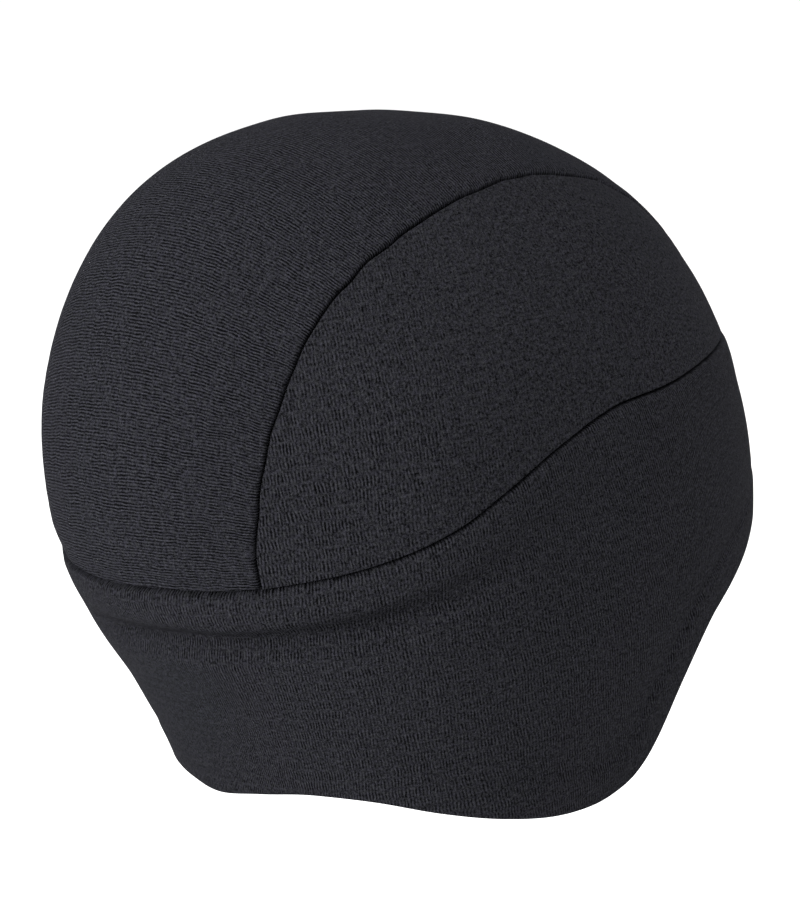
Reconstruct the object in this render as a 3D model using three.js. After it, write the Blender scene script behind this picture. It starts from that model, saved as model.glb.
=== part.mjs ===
// Winter skull cap of thin stretch fleece, standing as it does on a head.
// A strip runs from brow to nape over the crown, a side panel fills each side
// of it, and one deep band with a folded hem goes all round and covers the ears.
// Millimetres. The face looks along -Y, up is +Z, the wearer's left is +X, and the
// origin is on the inner face of the crown, where the cap rests on the head.
import * as THREE from 'three';

// The worn form, measured to the outer face of the cloth from the middle of the head
const FRONT_REACH = 103.7;
const BACK_REACH = 105.5;
const HALF_BREADTH = 84;
const CROWN_RISE = 112.5;

// Where the seams and the lower edge run
const STRIP_HALF_WIDTH = 55;
const BROW_SEAM_RISE = 54;
const EAR_DROP = 72.6;

// The cloth and its sewing
const CLOTH_THICKNESS = 1.4;
const HEM_THICKNESS = 2.6;
const HEM_DEPTH = 12.5;
const HEM_STEP = 0.3;
const SEAM_GAP = 0.3;
const ROLL_DEPTH = 0.7;
const ROLL_WIDTH = 3;
const RIDGE_HEIGHT = 0.6;
const RIDGE_SHARE_AT_BROW = 0.4;
const RIDGE_BELOW_SEAM = 4.5;
const CREASE_DEPTH = 1.2;
const CREASE_BELOW_SEAM = 10.5;
const RELIEF_HALF_WIDTH = 4;

// Swelling of the head form over a plain ellipsoid of the four sizes above: one row for
// each latitude in degrees, with the shares of the reach to the front, back and side
const HEAD_FORM = [
  { latitude: -60, front: 1.02, back: 1.02, side: 0.985 },
  { latitude: -50, front: 1.02, back: 0.92, side: 0.96 },
  { latitude: -40, front: 1.02, back: 0.803, side: 0.915 },
  { latitude: -25, front: 1.015, back: 0.795, side: 0.89 },
  { latitude: -10, front: 1.01, back: 0.87, side: 0.935 },
  { latitude: 5, front: 1.0, back: 0.958, side: 0.987 },
  { latitude: 20, front: 0.978, back: 1.033, side: 1.052 },
  { latitude: 35, front: 0.972, back: 1.086, side: 1.094 },
  { latitude: 50, front: 0.977, back: 1.107, side: 1.088 },
  { latitude: 70, front: 0.98, back: 1.06, side: 1.037 },
  { latitude: 90, front: 1.0, back: 1.0, side: 1.0 },
];

// The crown strip: its half width, as a share of the greatest, at each angle over the
// head from the level of the brow, through the crown at 90, to the level of the nape
const STRIP = [
  { over: 20, width: 0.64 },
  { over: 40, width: 0.72 },
  { over: 55, width: 0.795 },
  { over: 70, width: 0.873 },
  { over: 83, width: 0.925 },
  { over: 97, width: 0.954 },
  { over: 110, width: 0.9885 },
  { over: 120, width: 0.9945 },
  { over: 135, width: 0.9585 },
  { over: 150, width: 0.9205 },
  { over: 165, width: 0.858 },
  { over: 176, width: 0.811 },
  { over: 190, width: 0.785 },
];

// The band: each row is a line across it from the seam down to the rim. Turns are degrees
// round the head from the brow to the nape. The seam's rise is a share of its rise at the
// brow and the rim's drop a share of the ear drop, both from the middle of the head.
const BAND = [
  { seamTurn: 0, rise: 1.0, rimTurn: 0, drop: -0.06 },
  { seamTurn: 14, rise: 0.995, rimTurn: 12, drop: -0.055 },
  { seamTurn: 28, rise: 0.985, rimTurn: 22, drop: -0.04 },
  { seamTurn: 41, rise: 0.965, rimTurn: 31.5, drop: -0.012 },
  { seamTurn: 52, rise: 0.94, rimTurn: 38.5, drop: 0.03 },
  { seamTurn: 60, rise: 0.915, rimTurn: 44.8, drop: 0.12 },
  { seamTurn: 67, rise: 0.882, rimTurn: 50.8, drop: 0.205 },
  { seamTurn: 73, rise: 0.848, rimTurn: 55.6, drop: 0.29 },
  { seamTurn: 78, rise: 0.823, rimTurn: 57.3, drop: 0.375 },
  { seamTurn: 83, rise: 0.803, rimTurn: 58, drop: 0.475 },
  { seamTurn: 87.5, rise: 0.776, rimTurn: 58.2, drop: 0.58 },
  { seamTurn: 92, rise: 0.722, rimTurn: 58.3, drop: 0.68 },
  { seamTurn: 96, rise: 0.658, rimTurn: 58.8, drop: 0.77 },
  { seamTurn: 100, rise: 0.588, rimTurn: 60.3, drop: 0.853 },
  { seamTurn: 104, rise: 0.503, rimTurn: 64, drop: 0.922 },
  { seamTurn: 108.5, rise: 0.407, rimTurn: 72.5, drop: 0.974 },
  { seamTurn: 114, rise: 0.287, rimTurn: 85, drop: 0.986 },
  { seamTurn: 121, rise: 0.177, rimTurn: 99.5, drop: 0.96 },
  { seamTurn: 130, rise: 0.078, rimTurn: 114, drop: 0.917 },
  { seamTurn: 141, rise: 0, rimTurn: 129.5, drop: 0.865 },
  { seamTurn: 153, rise: -0.055, rimTurn: 146, drop: 0.845 },
  { seamTurn: 166, rise: -0.071, rimTurn: 163, drop: 0.862 },
  { seamTurn: 180, rise: -0.084, rimTurn: 180, drop: 0.88 },
];
// The crease under the band's ridge is deepest round the nape and fades towards the ears
const CREASE_FADES_FROM = 140;
const CREASE_GONE_AT = 104;

// How finely the pieces are faceted
const STEPS_PER_BAND_ROW = 2;
const STEPS_OVER_CROWN = 32;
const STEPS_ACROSS_STRIP = 8;
const STEPS_ALONG_SIDE = 32;
const STEPS_UP_SIDE = 9;
const STEPS_DOWN_BAND = 4;
const RIM_ARC_STEPS = 4;

const CLOTH_COLOUR = 0x29292d;
const CLOTH_ROUGHNESS = 0.95;

// How closely directions, crossings and the run of the rim are worked out
const NUDGE = 0.002;
const SETTLING_PASSES = 14;
const HALVINGS = 40;
const RIM_LOOK = 0.2;

// A way that none of the form's directions runs along
const ASLANT = new THREE.Vector3(1, 0.3, 0.2);

// Angles over the head, from straight ahead: the strip's table starts and ends past the seams
const CROWN_ANGLE = 90;
const BELOW_BROW_SEAM = STRIP[0].over;
const BELOW_NAPE_SEAM = STRIP[STRIP.length - 1].over;
const WAY_OVER_HEAD = Math.PI * CROWN_RISE;

const mix = (from, to, share) => from + (to - from) * share;
const radians = THREE.MathUtils.degToRad;
const degrees = THREE.MathUtils.radToDeg;
const clampShare = (value) => THREE.MathUtils.clamp(value, 0, 1);

// Reads one column of a table at a place along another, by a smooth curve through the rows,
// which is level at both ends of the table unless it is to run straight on
function readTable(rows, key, column, place, levelEnds = true) {
  const last = rows.length - 1;
  let row = 0;
  while (row < last - 1 && place > rows[row + 1][key]) row += 1;
  const slope = (index) => {
    if (levelEnds && (index === 0 || index === last)) return 0;
    const before = rows[Math.max(index - 1, 0)];
    const after = rows[Math.min(index + 1, last)];
    return (after[column] - before[column]) / (after[key] - before[key]);
  };
  const step = rows[row + 1][key] - rows[row][key];
  const t = clampShare((place - rows[row][key]) / step);
  const rise = t * t * (3 - 2 * t);
  return mix(rows[row][column], rows[row + 1][column], rise)
    + step * (t * (1 - t) ** 2 * slope(row) - t * t * (1 - t) * slope(row + 1));
}

// The form is star-shaped about the middle of the head: swelling is its radius over that
// of the ellipsoid, in a direction of the ellipsoid drawn as a unit ball
function swelling(direction) {
  const latitude = degrees(Math.asin(THREE.MathUtils.clamp(direction.z, -1, 1)));
  const level = Math.hypot(direction.x, direction.y);
  const lengthways = level > 0 ? Math.abs(direction.y) / level : 1;
  const sideways = level > 0 ? Math.abs(direction.x) / level : 0;
  const end = readTable(HEAD_FORM, 'latitude', direction.y < 0 ? 'front' : 'back', latitude);
  const side = readTable(HEAD_FORM, 'latitude', 'side', latitude);
  return 1 / Math.hypot(lengthways / end, sideways / side);
}

function onForm(direction) {
  const radius = swelling(direction);
  return new THREE.Vector3(
    direction.x * radius * HALF_BREADTH,
    direction.y * radius * (direction.y < 0 ? FRONT_REACH : BACK_REACH),
    direction.z * radius * CROWN_RISE,
  );
}

function directionOf(point) {
  const reach = point.y < 0 ? FRONT_REACH : BACK_REACH;
  return new THREE.Vector3(point.x / HALF_BREADTH, point.y / reach, point.z / CROWN_RISE).normalize();
}

function outwardNormal(direction) {
  const first = new THREE.Vector3().crossVectors(direction, ASLANT).normalize();
  const second = new THREE.Vector3().crossVectors(direction, first);
  const moved = (way, sign) => onForm(direction.clone().addScaledVector(way, sign * NUDGE).normalize());
  const alongFirst = moved(first, 1).sub(moved(first, -1));
  const alongSecond = moved(second, 1).sub(moved(second, -1));
  return alongFirst.cross(alongSecond).normalize();
}

// The direction at a height in mm and a turn round the head, found by closing in on it
function atHeight(turn, height) {
  const share = height / CROWN_RISE;
  const direction = new THREE.Vector3();
  let sine = share;
  for (let pass = 0; pass < SETTLING_PASSES; pass += 1) {
    const level = Math.sqrt(Math.max(1 - sine * sine, 0));
    direction.set(level * Math.sin(radians(turn)), -level * Math.cos(radians(turn)), sine);
    sine = THREE.MathUtils.clamp(share / swelling(direction), -1, 1);
  }
  return direction;
}

// The direction at an angle over the head and a distance in mm to its left
function overHead(over, leftward) {
  const share = leftward / HALF_BREADTH;
  const direction = new THREE.Vector3();
  let sine = share;
  for (let pass = 0; pass < SETTLING_PASSES; pass += 1) {
    const level = Math.sqrt(Math.max(1 - sine * sine, 0));
    direction.set(sine, -level * Math.cos(radians(over)), level * Math.sin(radians(over)));
    sine = THREE.MathUtils.clamp(share / swelling(direction), -1, 1);
  }
  return direction;
}

const BAND_LINES = BAND.map((row, line) => ({ ...row, line }));
const LAST_LINE = BAND.length - 1;

const turnOf = (direction) => degrees(Math.atan2(Math.abs(direction.x), -direction.y));
const bandSeamHeight = (turn) => BROW_SEAM_RISE * readTable(BAND, 'seamTurn', 'rise', turn);
const stripHalfWidth = (over) => STRIP_HALF_WIDTH * readTable(STRIP, 'over', 'width', over);

// The angle over the head at which a lengthwise line comes down to the band seam
function meetsBandSeam(leftwardAt, lowest) {
  let above = CROWN_ANGLE;
  let below = lowest;
  for (let pass = 0; pass < HALVINGS; pass += 1) {
    const middle = (above + below) / 2;
    const direction = overHead(middle, leftwardAt(middle));
    const clear = onForm(direction).z - bandSeamHeight(turnOf(direction)) - SEAM_GAP / 2;
    if (clear > 0) above = middle;
    else below = middle;
  }
  return above;
}

// Cloth rolls in towards the seams: the drop of its face at a distance from the edge
const rollIn = (distance) => -ROLL_DEPTH * (1 - clampShare(distance / ROLL_WIDTH)) ** 2;
const hump = (distance, centre) => {
  const share = clampShare(1 - Math.abs(distance - centre) / RELIEF_HALF_WIDTH);
  return share * share * (3 - 2 * share);
};

function bandRelief(belowSeam, turn) {
  const crease = clampShare((turn - CREASE_GONE_AT) / (CREASE_FADES_FROM - CREASE_GONE_AT));
  const ridge = RIDGE_HEIGHT * mix(RIDGE_SHARE_AT_BROW, 1, crease);
  return rollIn(belowSeam) + ridge * hump(belowSeam, RIDGE_BELOW_SEAM)
    - CREASE_DEPTH * crease * hump(belowSeam, CREASE_BELOW_SEAM);
}

function shifted(direction, offset) {
  return onForm(direction).addScaledVector(outwardNormal(direction), offset);
}

// Two faces of a patch of cloth, each a grid of points, joined all round into one solid.
// A grid whose first and last rows shrink to a corner has that corner once.
function clothSolid(outer, inner) {
  const vertices = [];
  const numbered = new Map();
  const indices = [];
  const number = (point) => {
    const key = point.toArray().map((value) => value.toFixed(5)).join();
    if (!numbered.has(key)) {
      numbered.set(key, numbered.size);
      vertices.push(point.x, point.y, point.z);
    }
    return numbered.get(key);
  };
  const triangle = (a, b, c) => {
    const corners = [number(a), number(b), number(c)];
    if (new Set(corners).size === 3) indices.push(...corners);
  };
  const quad = (a, b, c, d) => {
    if (a.distanceTo(c) < b.distanceTo(d)) {
      triangle(a, b, c);
      triangle(a, c, d);
    } else {
      triangle(a, b, d);
      triangle(b, c, d);
    }
  };
  const rows = outer.length - 1;
  const columns = outer[0].length - 1;
  for (let row = 0; row < rows; row += 1) {
    for (let column = 0; column < columns; column += 1) {
      const corners = (grid) => [grid[row][column], grid[row + 1][column],
        grid[row + 1][column + 1], grid[row][column + 1]];
      quad(...corners(outer));
      quad(...corners(inner).reverse());
    }
    quad(outer[row + 1][0], outer[row][0], inner[row][0], inner[row + 1][0]);
    quad(outer[row][columns], outer[row + 1][columns], inner[row + 1][columns], inner[row][columns]);
  }
  for (let column = 0; column < columns; column += 1) {
    quad(outer[0][column], outer[0][column + 1], inner[0][column + 1], inner[0][column]);
    quad(outer[rows][column + 1], outer[rows][column], inner[rows][column], inner[rows][column + 1]);
  }
  return { vertices, indices };
}

// Shares from 0 to 1 with extra ones close to each end, for the rolled edges
function edgedShares(steps, edgeShare) {
  const shares = [0, edgeShare / 3, edgeShare];
  for (let step = 1; step < steps; step += 1) {
    shares.push(mix(edgeShare, 1 - edgeShare, step / steps));
  }
  return [...shares, 1 - edgeShare, 1 - edgeShare / 3, 1];
}

// Both faces of a grid of directions, with the roll measured from the nearest edge
function facesOf(grid) {
  const points = grid.map((row) => row.map(onForm));
  const first = points[0];
  const last = points[points.length - 1];
  const distances = points.map((row) => row.map((point, column) => Math.min(
    point.distanceTo(row[0]),
    point.distanceTo(row[row.length - 1]),
    point.distanceTo(first[column]),
    point.distanceTo(last[column]),
  )));
  const face = (depth) => grid.map((row, index) => row.map((direction, column) => (
    shifted(direction, rollIn(distances[index][column]) - depth))));
  return [face(0), face(CLOTH_THICKNESS)];
}

function crownStrip() {
  const across = edgedShares(STEPS_ACROSS_STRIP, ROLL_WIDTH / (2 * STRIP_HALF_WIDTH));
  const lines = across.map((share) => {
    const leftward = (over) => mix(-1, 1, share) * (stripHalfWidth(over) - SEAM_GAP / 2);
    const brow = meetsBandSeam(leftward, BELOW_BROW_SEAM);
    const nape = meetsBandSeam(leftward, BELOW_NAPE_SEAM);
    const along = edgedShares(STEPS_OVER_CROWN, ROLL_WIDTH / WAY_OVER_HEAD);
    return along.map((part) => {
      const over = mix(brow, nape, part);
      return overHead(over, leftward(over));
    });
  });
  return clothSolid(...facesOf(lines));
}

function sidePanel(side) {
  const edge = (over) => stripHalfWidth(over) + SEAM_GAP / 2;
  const brow = meetsBandSeam(edge, BELOW_BROW_SEAM);
  const nape = meetsBandSeam(edge, BELOW_NAPE_SEAM);
  const browTurn = turnOf(overHead(brow, edge(brow)));
  const napeTurn = turnOf(overHead(nape, edge(nape)));
  const grid = edgedShares(STEPS_ALONG_SIDE, ROLL_WIDTH / WAY_OVER_HEAD).map((share) => {
    const over = mix(brow, nape, share);
    const turn = mix(browTurn, napeTurn, share);
    const upper = overHead(over, edge(over));
    const lower = atHeight(turn, bandSeamHeight(turn) + SEAM_GAP / 2);
    return edgedShares(STEPS_UP_SIDE, ROLL_WIDTH / HALF_BREADTH).map((part) => {
      const direction = lower.clone().lerp(upper, part).normalize();
      direction.x *= side;
      return direction;
    });
  });
  return clothSolid(...facesOf(side > 0 ? grid : grid.reverse()));
}

// One line of the band's grid, from the seam to the rim and back up the inner face
function bandLine(place, side) {
  const rimAt = (where) => atHeight(
    readTable(BAND_LINES, 'line', 'rimTurn', where, false),
    -EAR_DROP * readTable(BAND_LINES, 'line', 'drop', where),
  );
  const seamTurn = readTable(BAND_LINES, 'line', 'seamTurn', place, false);
  const seam = atHeight(seamTurn, bandSeamHeight(seamTurn) - SEAM_GAP / 2);
  const rim = onForm(rimAt(place));
  const before = onForm(rimAt(Math.max(place - RIM_LOOK, 0)));
  const along = onForm(rimAt(Math.min(place + RIM_LOOK, LAST_LINE))).sub(before);
  // The rim runs square to the middle plane where it crosses it
  if (place === 0 || place === LAST_LINE) along.set(along.x, 0, 0);
  const upward = outwardNormal(rimAt(place)).cross(along).normalize();
  const aboveRim = (distance) => directionOf(rim.clone().addScaledVector(upward, distance));

  const lineStart = aboveRim(HEM_DEPTH + CLOTH_THICKNESS);
  const length = onForm(lineStart).distanceTo(onForm(seam));
  const belowSeam = (distance) => seam.clone().lerp(lineStart, distance / length).normalize();

  const profile = [];
  const add = (direction, offset) => profile.push(shifted(direction, offset));
  const reliefEnd = CREASE_BELOW_SEAM + RELIEF_HALF_WIDTH;
  const body = [0, ROLL_WIDTH / 3, ROLL_WIDTH, RIDGE_BELOW_SEAM,
    (RIDGE_BELOW_SEAM + CREASE_BELOW_SEAM) / 2, CREASE_BELOW_SEAM, reliefEnd];
  for (let step = 1; step <= STEPS_DOWN_BAND; step += 1) {
    body.push(mix(reliefEnd, length, step / STEPS_DOWN_BAND));
  }
  body.sort((one, other) => one - other);
  const rimRadius = HEM_THICKNESS / 2;
  body.forEach((distance) => add(belowSeam(distance), bandRelief(distance, seamTurn)));
  add(aboveRim(HEM_DEPTH), 0);
  add(aboveRim(HEM_DEPTH - CLOTH_THICKNESS), HEM_STEP);
  add(aboveRim((HEM_DEPTH + rimRadius) / 2), HEM_STEP);
  for (let step = 0; step <= RIM_ARC_STEPS; step += 1) {
    const angle = (Math.PI * step) / RIM_ARC_STEPS;
    add(aboveRim(rimRadius * (1 - Math.sin(angle))), HEM_STEP - rimRadius * (1 - Math.cos(angle)));
  }
  add(aboveRim((HEM_DEPTH + rimRadius) / 2), HEM_STEP - HEM_THICKNESS);
  add(aboveRim(HEM_DEPTH - CLOTH_THICKNESS), HEM_STEP - HEM_THICKNESS);
  add(aboveRim(HEM_DEPTH), -CLOTH_THICKNESS);
  body.reverse().forEach((distance) => add(
    belowSeam(distance),
    bandRelief(distance, seamTurn) - CLOTH_THICKNESS,
  ));
  profile.forEach((point) => { point.x *= side; });
  return profile;
}

function earBand() {
  const count = LAST_LINE * STEPS_PER_BAND_ROW;
  const lines = [];
  for (let step = 0; step < count; step += 1) lines.push(bandLine(step / STEPS_PER_BAND_ROW, 1));
  for (let step = count; step > 0; step -= 1) lines.push(bandLine(step / STEPS_PER_BAND_ROW, -1));
  const around = lines.length;
  const ring = lines[0].length;
  const vertices = lines.flatMap((line) => line.flatMap((point) => point.toArray()));
  const indices = [];
  for (let line = 0; line < around; line += 1) {
    const next = (line + 1) % around;
    for (let spot = 0; spot < ring; spot += 1) {
      const after = (spot + 1) % ring;
      const a = line * ring + spot;
      const b = line * ring + after;
      const c = next * ring + after;
      const d = next * ring + spot;
      indices.push(a, b, c, a, c, d);
    }
  }
  return { vertices, indices };
}

function piece(name, { vertices, indices }) {
  const geometry = new THREE.BufferGeometry();
  geometry.setAttribute('position', new THREE.Float32BufferAttribute(vertices, 3));
  geometry.setIndex(indices);
  geometry.translate(0, 0, CLOTH_THICKNESS - CROWN_RISE);
  geometry.computeVertexNormals();
  const material = new THREE.MeshStandardMaterial({
    color: CLOTH_COLOUR, roughness: CLOTH_ROUGHNESS, metalness: 0,
  });
  const mesh = new THREE.Mesh(geometry, material);
  mesh.name = name;
  return mesh;
}

const cap = new THREE.Group();
cap.add(
  piece('crown_strip', crownStrip()),
  piece('side_panel_left', sidePanel(1)),
  piece('side_panel_right', sidePanel(-1)),
  piece('ear_band', earBand()),
);
export default cap;
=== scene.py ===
import math

import bpy
import numpy as np
from mathutils import Matrix, Vector, noise


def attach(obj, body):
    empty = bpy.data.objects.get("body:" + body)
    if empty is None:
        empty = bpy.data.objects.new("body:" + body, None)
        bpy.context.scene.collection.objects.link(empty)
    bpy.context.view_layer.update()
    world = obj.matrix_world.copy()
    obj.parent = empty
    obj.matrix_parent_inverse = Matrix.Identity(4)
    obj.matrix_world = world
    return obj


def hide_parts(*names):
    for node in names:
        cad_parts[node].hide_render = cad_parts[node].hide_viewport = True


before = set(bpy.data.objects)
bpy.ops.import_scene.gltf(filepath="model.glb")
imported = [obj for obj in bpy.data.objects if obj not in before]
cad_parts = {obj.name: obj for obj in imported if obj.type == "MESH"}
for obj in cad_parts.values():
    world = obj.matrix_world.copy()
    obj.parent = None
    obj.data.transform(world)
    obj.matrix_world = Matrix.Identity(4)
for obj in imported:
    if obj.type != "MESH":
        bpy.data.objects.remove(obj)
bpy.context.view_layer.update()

# Crown strip: the panel of thin stretch fleece that runs from the brow over the crown to the
# nape, cut with its ribs across it. Its long edges are sewn to the side panels and turned in,
# and lie flat under the strip, where they raise a soft ridge beside each seam.
FRONT_REACH = 0.1037
BACK_REACH = 0.1055
HALF_BREADTH = 0.084
CROWN_RISE = 0.1125
CLOTH = 0.0014
STRIP_HALF_WIDTH = 0.055
BROW_SEAM_RISE = 0.054
TURNING_WIDTH = 0.0055
TURNING_DEPTH = 0.0021
SEAM_SLIT = 0.00007
LIP_WIDTH = 0.0009
LIP_DEPTH = 0.0026
BACK_CORNER = 0.0036


def table(columns, *rows):
    return dict(zip(columns.split(), np.array(rows, float).T))


HEAD_FORM = table(
    "latitude front back side",
    (-60, 1.02, 1.02, 0.985),
    (-50, 1.02, 0.92, 0.96),
    (-40, 1.02, 0.803, 0.915),
    (-25, 1.015, 0.795, 0.89),
    (-10, 1.01, 0.87, 0.935),
    (5, 1.0, 0.958, 0.987),
    (20, 0.978, 1.033, 1.052),
    (35, 0.972, 1.086, 1.094),
    (50, 0.977, 1.107, 1.088),
    (70, 0.98, 1.06, 1.037),
    (90, 1.0, 1.0, 1.0),
)
STRIP = table(
    "over width",
    (20, 0.64),
    (40, 0.72),
    (55, 0.795),
    (70, 0.873),
    (83, 0.925),
    (97, 0.954),
    (110, 0.9885),
    (120, 0.9945),
    (135, 0.9585),
    (150, 0.9205),
    (165, 0.858),
    (176, 0.811),
    (190, 0.785),
)
BAND = table(
    "line seam_turn rise rim_turn drop",
    (0, 0, 1.0, 0, -0.06),
    (1, 14, 0.995, 12, -0.055),
    (2, 28, 0.985, 22, -0.04),
    (3, 41, 0.965, 31.5, -0.012),
    (4, 52, 0.94, 38.5, 0.03),
    (5, 60, 0.915, 44.8, 0.12),
    (6, 67, 0.882, 50.8, 0.205),
    (7, 73, 0.848, 55.6, 0.29),
    (8, 78, 0.823, 57.3, 0.375),
    (9, 83, 0.803, 58, 0.475),
    (10, 87.5, 0.776, 58.2, 0.58),
    (11, 92, 0.722, 58.3, 0.68),
    (12, 96, 0.658, 58.8, 0.77),
    (13, 100, 0.588, 60.3, 0.853),
    (14, 104, 0.503, 64, 0.922),
    (15, 108.5, 0.407, 72.5, 0.974),
    (16, 114, 0.287, 85, 0.986),
    (17, 121, 0.177, 99.5, 0.96),
    (18, 130, 0.078, 114, 0.917),
    (19, 141, 0, 129.5, 0.865),
    (20, 153, -0.055, 146, 0.845),
    (21, 166, -0.071, 163, 0.862),
    (22, 180, -0.084, 180, 0.88),
)
KINKS = table(
    "over sideways spread",
    (67, 0.00020, 2.5),
    (73.5, -0.00060, 1.6),
    (81.5, 0.00030, 2.5),
    (89.5, -0.00030, 2.5),
    (95.5, -0.00025, 1.5),
    (100.5, 0.00028, 3.0),
    (117.5, -0.00016, 2.0),
    (121.5, 0.00013, 2.0),
    (125.5, -0.00020, 1.6),
    (130, 0.00034, 1.8),
    (142, -0.00020, 2.5),
    (148, -0.00015, 2.0),
    (155.5, -0.00018, 2.2),
    (160.5, 0.00016, 1.8),
    (168.5, 0.00028, 2.2),
    (176, -0.00016, 2.5),
)


def read(rows, key, column, place, level_ends=True):
    keys, values = rows[key], rows[column]
    slopes = np.zeros(len(keys))
    slopes[1:-1] = (values[2:] - values[:-2]) / (keys[2:] - keys[:-2])
    if not level_ends:
        slopes[0] = (values[1] - values[0]) / (keys[1] - keys[0])
        slopes[-1] = (values[-1] - values[-2]) / (keys[-1] - keys[-2])
    row = np.searchsorted(keys[1:-1], place)
    step = keys[row + 1] - keys[row]
    t = np.clip((place - keys[row]) / step, 0, 1)
    rise = t * t * (3 - 2 * t)
    between = values[row] + (values[row + 1] - values[row]) * rise
    return between + step * (t * (1 - t) ** 2 * slopes[row] - t * t * (1 - t) * slopes[row + 1])


def unit(vectors):
    return vectors / np.linalg.norm(vectors, axis=-1, keepdims=True)


def swelling(direction):
    x, y, z = np.moveaxis(direction, -1, 0)
    latitude = np.degrees(np.arcsin(np.clip(z, -1, 1)))
    level = np.maximum(np.hypot(x, y), 1e-9)
    end = np.where(
        y < 0,
        read(HEAD_FORM, "latitude", "front", latitude),
        read(HEAD_FORM, "latitude", "back", latitude),
    )
    side = read(HEAD_FORM, "latitude", "side", latitude)
    return level / np.maximum(np.hypot(y / end, x / side), 1e-9)


def reaches(y):
    return np.where(y < 0, FRONT_REACH, BACK_REACH)


def on_form(direction):
    x, y, z = np.moveaxis(direction, -1, 0)
    radius = np.where(np.hypot(x, y) > 1e-6, swelling(direction), 1.0)
    sizes = np.stack([x * HALF_BREADTH, y * reaches(y), z * CROWN_RISE], -1)
    return sizes * radius[..., None]


def direction_of(point):
    x, y, z = np.moveaxis(point, -1, 0)
    return unit(np.stack([x / HALF_BREADTH, y / reaches(y), z / CROWN_RISE], -1))


def outward(direction, nudge=0.002):
    first = unit(np.cross(direction, np.array([1.0, 0.3, 0.2])))
    second = np.cross(direction, first)
    along_first = on_form(unit(direction + nudge * first)) - on_form(unit(direction - nudge * first))
    along_second = on_form(unit(direction + nudge * second)) - on_form(unit(direction - nudge * second))
    return unit(np.cross(along_first, along_second))


def at_height(turn, height):
    turn, share = np.broadcast_arrays(np.radians(turn), height / CROWN_RISE)
    sine = share
    for _ in range(14):
        level = np.sqrt(np.maximum(1 - sine * sine, 0))
        direction = np.stack([level * np.sin(turn), -level * np.cos(turn), sine], -1)
        sine = np.clip(share / swelling(direction), -1, 1)
    return direction


def over_head(over, leftward):
    over, share = np.broadcast_arrays(np.radians(over), leftward / HALF_BREADTH)
    sine = share
    for _ in range(14):
        level = np.sqrt(np.maximum(1 - sine * sine, 0))
        direction = np.stack([sine, -level * np.cos(over), level * np.sin(over)], -1)
        sine = np.clip(share / swelling(direction), -1, 1)
    return direction


def turn_of(direction):
    return np.degrees(np.arctan2(np.abs(direction[..., 0]), -direction[..., 1]))


def seam_height(turn):
    return BROW_SEAM_RISE * read(BAND, "seam_turn", "rise", turn)


def strip_edge(over):
    bends = (np.asarray(over)[..., None] - KINKS["over"]) / KINKS["spread"]
    kink = (KINKS["sideways"] * np.exp(-(bends**2))).sum(-1)
    return STRIP_HALF_WIDTH * read(STRIP, "over", "width", over) + kink


def meets_band(leftward_at, lowest):
    above, below = 90.0, lowest
    for _ in range(40):
        middle = (above + below) / 2
        direction = over_head(middle, leftward_at(middle))
        if on_form(direction)[2] > seam_height(turn_of(direction)) + SEAM_SLIT:
            above = middle
        else:
            below = middle
    return above


def reach(points, line):
    """Distance of each point from a line, and how far along the line that is."""
    flat = points.reshape(-1, 3)
    steps = np.diff(line, axis=0)
    lengths = np.linalg.norm(steps, axis=1)
    travelled = np.concatenate([[0], np.cumsum(lengths)])
    nearest = np.empty(len(flat), int)
    for start in range(0, len(flat), 4000):
        part = flat[start:start + 4000]
        gaps = (part**2).sum(1)[:, None] + (line**2).sum(1)[None] - 2 * part @ line.T
        nearest[start:start + 4000] = gaps.argmin(1)
    best = np.full(len(flat), np.inf)
    place = np.zeros(len(flat))
    for shift in (-1, 0):
        segment = np.clip(nearest + shift, 0, len(steps) - 1)
        away = flat - line[segment]
        share = np.clip((away * steps[segment]).sum(1) / lengths[segment] ** 2, 0, 1)
        distance = np.linalg.norm(away - share[:, None] * steps[segment], axis=1)
        closer = distance < best
        best[closer] = distance[closer]
        place[closer] = (travelled[segment] + share * lengths[segment])[closer]
    return best.reshape(points.shape[:-1]), place.reshape(points.shape[:-1])


def lip(distance):
    return -LIP_DEPTH * np.clip(1 - distance / LIP_WIDTH, 0, 1) ** 3


def hump(distance, centre, half_width):
    share = np.clip(1 - np.abs(distance - centre) / half_width, 0, 1)
    return share * share * (3 - 2 * share)


def ramp(value, start, end):
    share = np.clip((value - start) / (end - start), 0, 1)
    return share * share * (3 - 2 * share)


def wander(points, size, seed):
    """Smooth unevenness from -1 to 1 over features of that size."""
    flat = points.reshape(-1, 3) / size + seed * 7.31
    values = np.array([noise.noise(Vector(point)) for point in flat])
    return values.reshape(points.shape[:-1])


def uneven(points):
    """How far the worn cloth stands off the plain form: fuller at the back corners of the head."""
    turn = np.degrees(np.arctan2(np.abs(points[..., 0]), -points[..., 1]))
    corner = BACK_CORNER * hump(turn, 123, 34) * hump(points[..., 2], 0.025, 0.070)
    return corner + 0.00035 * wander(points, 0.045, 1) + 0.00012 * wander(points, 0.014, 2)


def spaced(length, step):
    """Distances from one edge to the other: close together at the edges, then even."""
    close = np.array([0, 0.06, 0.16, 0.3, 0.5, 0.75, 1.05, 1.4, 1.9, 2.5, 3.2, 4.0, 4.9]) * 0.001
    inner = np.linspace(5.9e-3, length - 5.9e-3, max(int((length - 11.8e-3) / step) + 1, 2))
    return np.concatenate([close, inner, length - close[::-1]])


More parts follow.
